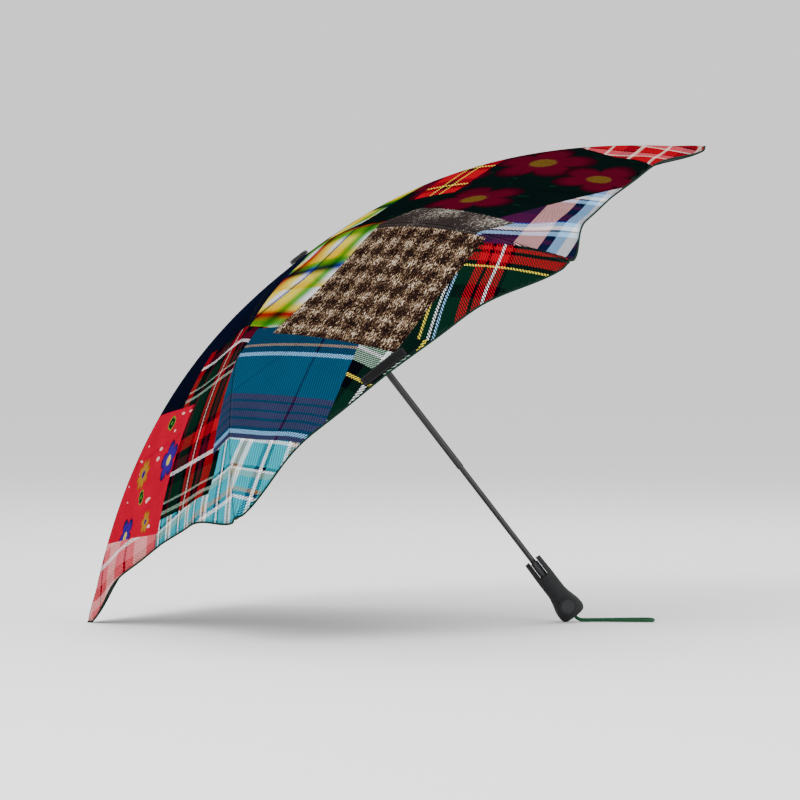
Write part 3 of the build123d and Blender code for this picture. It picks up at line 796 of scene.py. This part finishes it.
@dataclass
class HalfGore:
    """One band of cloth from a rib to the middle of the next panel."""

    dome: Dome
    arm: int
    side: int                    # +1 or -1, which way it runs from its rib
    band: str                    # inner, middle or outer
    pocket_rise: float = 3.4 * MM
    pocket_from: float = 448 * MM
    pocket_to: float = 478 * MM
    pocket_half: float = 5 * MM
    thickness: float = 0.5 * MM
    cap_radius: float = 9.5 * MM
    folded: float = 0.10         # share of its width that is left when folded
    piping_radius: float = 1.15 * MM
    piping_drop: float = 0.25 * MM
    allowance: float = 1.12      # stated width over the level width: the slope, and a little more
    seam_crowding: float = 1.5   # crowds the mesh towards the rib

    FACES = {"inner": (12, 36), "middle": (16, 26), "outer": (26, 28)}

    def __post_init__(self) -> None:
        """Finds where the band starts and ends."""
        inner, outer = self.dome.knuckles
        self.start = {"inner": self.cap_radius, "middle": inner, "outer": outer}[self.band]
        self.end = {"inner": inner, "middle": outer, "outer": None}[self.band]
        self.half_sector = math.pi / self.dome.arms
        self.name = f"cloth_{self.band}_{self.arm}{'a' if self.side > 0 else 'b'}"
        self.body = f"{self.band}_{self.arm}"

    def reach(self, share: float, run: float) -> float:
        """Radius along the rib, for a place in the band."""
        end = self.dome.rim(share) if self.end is None else self.end
        return self.start + (end - self.start) * run

    def polar(self, share: float, length: float) -> tuple[float, float]:
        """Distance from the shaft and angle round it, where the panel runs straight across."""
        turn = self.half_sector * share
        straight = length * math.cos(self.half_sector) / math.cos(self.half_sector - turn)
        return straight, 2 * self.half_sector * self.arm + self.side * turn

    def surface(self, share: float, reach: float) -> Vector:
        """A point of the cloth."""
        radius, azimuth = self.polar(share, reach)
        beside = radius * math.sin(self.half_sector * share)
        sag = self.dome.sag * math.sin(math.pi * min(1.0, reach / self.dome.rim_radius))
        sag *= (1 - math.cos(math.pi * share)) / 2
        pocket = smooth((reach - self.pocket_from) / (self.pocket_to - self.pocket_from))
        pocket *= self.pocket_rise * math.exp(-((beside / self.pocket_half) ** 2))
        point = self.dome.place(radius, azimuth, self.dome.height(reach) - sag + pocket)
        away = (math.degrees(self.half_sector * share) - self.dome.flare_at) / self.dome.flare_spread
        flare = self.dome.flare * math.exp(-away * away)
        flare *= smooth((reach - self.dome.flare_from) / (self.dome.rim_radius - self.dome.flare_from))
        return point + self.outward(reach) * flare

    def outward(self, reach: float) -> Vector:
        """Direction that the flat panel faces."""
        azimuth = 2 * self.half_sector * self.arm + self.side * self.half_sector
        fall = self.dome.slope(reach) / math.cos(self.half_sector)
        level = self.dome.out * math.cos(azimuth) + self.dome.side * math.sin(azimuth)
        return (self.dome.up + level * fall).normalized()

    def coordinates(self, share: float, reach: float) -> tuple[tuple[float, ...], tuple[float, ...]]:
        """Place on the flat cloth, and distances from the seam, from the hem and along the seam."""
        length = self.dome.along(reach)
        radius, azimuth = self.polar(share, length)
        u, v = radius * math.cos(azimuth), radius * math.sin(azimuth)
        middle = 2 * self.half_sector * self.arm + self.side * self.half_sector / 2
        if math.sin(middle) > 0:
            u, v = -u, -v
        seam = radius * math.sin(self.half_sector * share)
        hem = self.dome.along(self.dome.rim(share)) - length
        return (u, v, 1.0), (seam, hem, length)

    def build(self, print_cloth: bpy.types.Material, lining: bpy.types.Material) -> bpy.types.Object:
        """Sews the band and gives it its cloth.

        Args:
            print_cloth: material of the outside.
            lining: material of the underside.

        Returns:
            The finished band.
        """
        across, along = self.FACES[self.band]
        places: list[tuple[float, float]] = []

        def shape(x: float, y: float) -> Vector:
            """Bends the grid and notes where each point lies."""
            share = x**self.seam_crowding
            reach = self.reach(share, y)
            places.append((share, reach))
            return self.surface(share, reach)

        piece = grid(self.name, across, along, shape)
        flats, edges = zip(*(self.coordinates(share, reach) for share, reach in places))
        store(piece, "flat", flats)
        store(piece, "edge", edges)
        face_towards(piece, self.dome.up)
        area = sum(face.area for face in piece.data.polygons)
        for face in piece.data.polygons:
            face.use_smooth = True
        piece.data.materials.append(print_cloth)
        piece.data.materials.append(lining)
        apply_modifier(
            piece, "SOLIDIFY", thickness=self.thickness, offset=-1.0, material_offset=1, material_offset_rim=1
        )
        self.fit(piece)
        last = self.reach(1.0, 1.0)
        size = (self.polar(1.0, last)[0] * math.sin(self.half_sector) * self.allowance,
                self.dome.along(self.reach(0.0, 1.0)) - self.dome.along(self.start))
        min(area, size[0] * size[1])
        return piece

    def fit(self, piece: bpy.types.Object) -> None:
        """Lets a piece ride on its rib.

        Args:
            piece: the cloth, its binding or the strap.
        """
        far = self.reach(0.0, 1.0)
        root, end = self.surface(0.0, self.start), self.surface(0.0, far)
        middle = (self.start + far) / 2
        chord = (self.surface(1.0, middle) - self.surface(0.0, middle)).normalized()
        along = (end - root).normalized()
        across = (chord - along * chord.dot(along)).normalized()
        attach(piece, self.body)
        tuple((root + end) / 2)
        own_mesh(piece)

    def piping(self, finish: bpy.types.Material, steps: int = 28) -> bpy.types.Object:
        """The bound edge of the hem.

        Args:
            finish: material of the binding.
            steps: stretches along the half panel.

        Returns:
            The finished binding.
        """
        deselect()
        curve = bpy.data.curves.new(f"hem_binding_{self.arm}{'a' if self.side > 0 else 'b'}", "CURVE")
        curve.dimensions = "3D"
        curve.bevel_depth = self.piping_radius
        curve.bevel_resolution = 3
        curve.use_fill_caps = True
        line = curve.splines.new("POLY")
        line.points.add(steps)
        for count, point in enumerate(line.points):
            share = (count / steps) ** self.seam_crowding
            point.co = (*(self.surface(share, self.dome.rim(share)) - self.dome.up * self.piping_drop), 1.0)
        piece = bpy.data.objects.new(curve.name, curve)
        bpy.context.scene.collection.objects.link(piece)
        choose(piece)
        bpy.ops.object.convert(target="MESH")
        piece = bpy.context.object
        piece.data.materials.clear()
        piece.data.materials.append(finish)
        for face in piece.data.polygons:
            face.use_smooth = True
        self.fit(piece)
        return piece


@dataclass
class Canopy:
    """The whole cover: six panels, each of three bands either side of its ribs."""

    dome: Dome
    bands: tuple[str, ...] = ("inner", "middle", "outer")

    def build(self) -> None:
        """Sews every band, binds the hem and takes the place of the plain panels."""
        cloth, lining = Patchwork().material(), Lining().material()
        binding = Finish(
            "hem_binding", (0.004, 0.018, 0.011), 0.80, gloss=0.05, grain=1400.0, grain_depth=0.00008
        ).material()
        for arm in range(self.dome.arms):
            for band in self.bands:
                for side in (1, -1):
                    gore = HalfGore(self.dome, arm, side, band)
                    piece = gore.build(cloth, lining)
                    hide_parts(f"canopy_{band}_{arm}")
                    if band == "outer":
                        gore.piping(binding)
            log.info("cloth over arm %d", arm)


@dataclass
class HemTie:
    """The closing strap, sewn beside the hem of the panel that faces -Y."""

    dome: Dome
    length: float = 62 * MM
    width: float = 17 * MM
    thickness: float = 1.0 * MM
    lift: float = 1.4 * MM        # outer face above the cloth
    wave: float = 0.5 * MM
    corner: float = 0.12          # share of the length in which the ends round off

    def build(self) -> bpy.types.Object:
        """Makes the strap.

        Returns:
            The finished strap.
        """
        gore = HalfGore(self.dome, 5, -1, "outer")
        rim = self.dome.rim(1.0)
        low, high = gore.surface(1.0, rim), gore.surface(1.0, rim - self.width / math.cos(gore.half_sector))
        rise = (high - low).normalized()
        lengthways = self.dome.out
        outward = lengthways.cross(rise).normalized()
        if outward.dot(self.dome.up) < 0:
            outward = -outward
        centre = (low + high) / 2
        flats: list[tuple[float, float, float]] = []

        def shape(x: float, y: float) -> Vector:
            """Rounds the ends and lets the strap wave a little."""
            a, b = (2 * x - 1), (2 * y - 1)
            ease = max(0.0, (abs(a) - (1 - self.corner)) / self.corner)
            half = self.width / 2 * (1 - 0.28 * ease * ease)
            flats.append((a * self.length / 2, b * half, 1.0))
            ripple = self.wave * math.sin(a * 4.2 + b) * (0.4 + 0.6 * abs(a))
            across = lengthways * a * self.length / 2 + rise * b * half
            return centre + across + outward * (self.lift + ripple)

        piece = grid("closing_strap", 48, 14, shape)
        store(piece, "flat", flats)
        face_towards(piece, outward)
        piece.data.materials.append(Webbing("tie_webbing", (0.004, 0.004, 0.0045)).material())
        apply_modifier(piece, "SOLIDIFY", thickness=self.thickness, offset=-1.0)
        apply_modifier(piece, "BEVEL", width=0.35 * MM, segments=2, limit_method="ANGLE")
        choose(piece)
        bpy.ops.object.shade_smooth_by_angle(angle=math.radians(50))
        gore.fit(piece)
        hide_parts("hem_tie")
        return piece


# ---------------------------------------------------------------- wrist loop
@dataclass
class WristLoop:
    """Braided cord that leaves the handle's end, lies along the floor and comes back."""

    diameter: float = 4.2 * MM
    length: float = 217 * MM
    strand: tuple[tuple[float, float, float], ...] = (
        (0.03051, 0.0034, -0.03961), (0.03434, 0.0034, -0.04459), (0.04601, 0.0039, -0.04459),
        (0.06951, 0.0066, -0.04459), (0.10051, 0.0124, -0.04459), (0.12801, 0.0140, -0.04459),
    )

    def build(self) -> bpy.types.Object:
        """Lays the loop.

        Returns:
            The finished cord.
        """
        points = list(self.strand) + [(x, -y, z) for x, y, z in reversed(self.strand)]
        curve = bpy.data.curves.new("wrist_loop", "CURVE")
        curve.dimensions = "3D"
        curve.bevel_depth = self.diameter / 2
        curve.bevel_resolution = 5
        curve.use_fill_caps = True
        curve.resolution_u = 16
        line = curve.splines.new("NURBS")
        line.points.add(len(points) - 1)
        for point, place in zip(line.points, points):
            point.co = (*place, 1.0)
        line.order_u = 3
        line.use_endpoint_u = True
        piece = bpy.data.objects.new("wrist_loop", curve)
        bpy.context.scene.collection.objects.link(piece)
        piece.data.materials.append(Braid("cord_braid", (0.004, 0.050, 0.018), 62.0, 5.0).material())
        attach(piece, "handle")
        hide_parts("wrist_cord")
        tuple(points[0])
        return piece


# ---------------------------------------------------------------- frame, stage and camera
@dataclass
class Hardware:
    """Finishes of the frame's own pieces."""

    shaft: Vector

    def dress(self) -> None:
        """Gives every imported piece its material."""
        finishes = {
            "canopy_cloth": Lining("panel_backing"),
            "rib_black": Finish("rib_enamel", (0.009, 0.009, 0.010), 0.38, coat=0.12, grain=1300.0),
            "grip_rubber": Finish("grip_soft_touch", (0.011, 0.0115, 0.0125), 0.62, gloss=0.22,
                                  grain=1500.0, grain_depth=0.00009),
            "moulded_black": Finish("moulded_black", (0.008, 0.008, 0.009), 0.42, grain=1100.0, grain_depth=0.00006),
            "collar_grey": Finish("collar_grey", (0.045, 0.046, 0.050), 0.45, grain=900.0),
            "spring_steel": Finish("spring_steel", (0.52, 0.52, 0.53), 0.32, metallic=1.0, drawn=self.shaft),
            "shaft_black": Finish("shaft_enamel", (0.009, 0.009, 0.010), 0.28, coat=0.25,
                                  grain=700.0, grain_depth=0.00002, drawn=self.shaft),
            "cord_green": Finish("cord_backing", (0.004, 0.050, 0.018), 0.8),
            "button_black": Finish("button_black", (0.017, 0.0175, 0.019), 0.50, grain=1200.0, grain_depth=0.00007),
            "tie_webbing": Finish("tie_backing", (0.012, 0.012, 0.013), 0.8),
        }
        made = {slot: finish.material() for slot, finish in finishes.items()}
        slots = {part["node"]: part["material_slot"] for part in frame["record"]["subparts"]}
        for node, piece in frame["nodes"].items():
            piece.data.materials.clear()
            piece.data.materials.append(made[slots[node]])


@dataclass
class Studio:
    """Pale floor and backdrop, soft lights and the camera."""

    aim: Vector
    floor: float
    distance: float = 5.3
    lens: float = 192.0
    view: Vector = field(default_factory=lambda: Vector((-0.0149, -0.9997, 0.0194)))

    def stage(self) -> None:
        """Lays the floor and sweeps it up behind."""
        deselect()
        bpy.ops.mesh.primitive_plane_add(size=60.0, location=(self.aim.x, self.aim.y, self.floor))
        floor = bpy.context.object
        floor.name = "studio_floor"
        bpy.ops.object.transform_apply(location=True, rotation=False, scale=False)
        bpy.ops.object.mode_set(mode="EDIT")
        bpy.ops.mesh.select_all(action="DESELECT")
        bpy.ops.object.mode_set(mode="OBJECT")
        back = max(vertex.co.y for vertex in floor.data.vertices)
        for edge in floor.data.edges:
            edge.select = all(abs(floor.data.vertices[end].co.y - back) < MM for end in edge.vertices)
        bpy.ops.object.mode_set(mode="EDIT")
        bpy.ops.mesh.select_mode(type="EDGE")
        bpy.ops.mesh.extrude_region_move(TRANSFORM_OT_translate={"value": (0.0, 0.0, 20.0)})
        bpy.ops.object.mode_set(mode="OBJECT")
        apply_modifier(floor, "BEVEL", width=12.0, segments=32, limit_method="ANGLE")
        for face in floor.data.polygons:
            face.use_smooth = True
        shader = Shader("studio_paper", roughness=0.9)
        paper = shader.noise(shader.coordinate(), 40.0, 3.0)
        shader.feed("Base Color", shader.mix(paper, (0.93, 0.93, 0.93), (0.96, 0.96, 0.96)))
        floor.data.materials.append(shader.material)

    def light(self, name: str, place: Vector, size: float, power: float) -> None:
        """One soft lamp that looks at the umbrella."""
        lamp = bpy.data.lights.new(name, "AREA")
        lamp.size, lamp.energy = size, power
        holder = bpy.data.objects.new(name, lamp)
        holder.location = self.aim + place
        holder.rotation_euler = (-place).to_track_quat("-Z", "Y").to_euler()
        bpy.context.scene.collection.objects.link(holder)

    def build(self) -> None:
        """Sets the stage, the lamps and the camera."""
        self.stage()
        self.light("key_lamp", Vector((-1.6, -2.6, 2.4)), 2.2, 150.0)
        self.light("fill_lamp", Vector((2.6, -2.4, 1.0)), 2.4, 50.0)
        self.light("back_lamp", Vector((0.6, 2.0, 2.6)), 2.0, 60.0)
        world = bpy.data.worlds.new("studio_air")
        world.use_nodes = True
        world.node_tree.nodes["Background"].inputs["Color"].default_value = (1.0, 1.0, 1.0, 1.0)
        world.node_tree.nodes["Background"].inputs["Strength"].default_value = 1.15
        bpy.context.scene.world = world
        camera = bpy.data.cameras.new("camera")
        camera.lens, camera.sensor_width = self.lens, 36.0
        holder = bpy.data.objects.new("camera", camera)
        direction = self.view.normalized()
        holder.location = self.aim + direction * self.distance
        holder.rotation_euler = (-direction).to_track_quat("-Z", "Y").to_euler()
        bpy.context.scene.collection.objects.link(holder)
        bpy.context.scene.camera = holder


def main() -> None:
    """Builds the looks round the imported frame, in order."""
    logging.basicConfig(level=logging.INFO, format="%(message)s")
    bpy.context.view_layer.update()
    joints = {joint["name"]: joint for joint in frame["joints"]}
    dome = Dome(joints)
    floor = min(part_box(node)[0].z for node in ("rib_outer_3", "grip_shell"))
    Studio(aim=Vector((-0.1873, 0.0, 0.2290)), floor=floor).build()
    log.info("stage and camera")
    Hardware(dome.up).dress()
    log.info("frame finishes")
    WristLoop().build()
    log.info("wrist loop")
    Canopy(dome).build()
    HemTie(dome).build()
    log.info("closing strap")
    deselect()


if __name__ == "__main__":
    main()
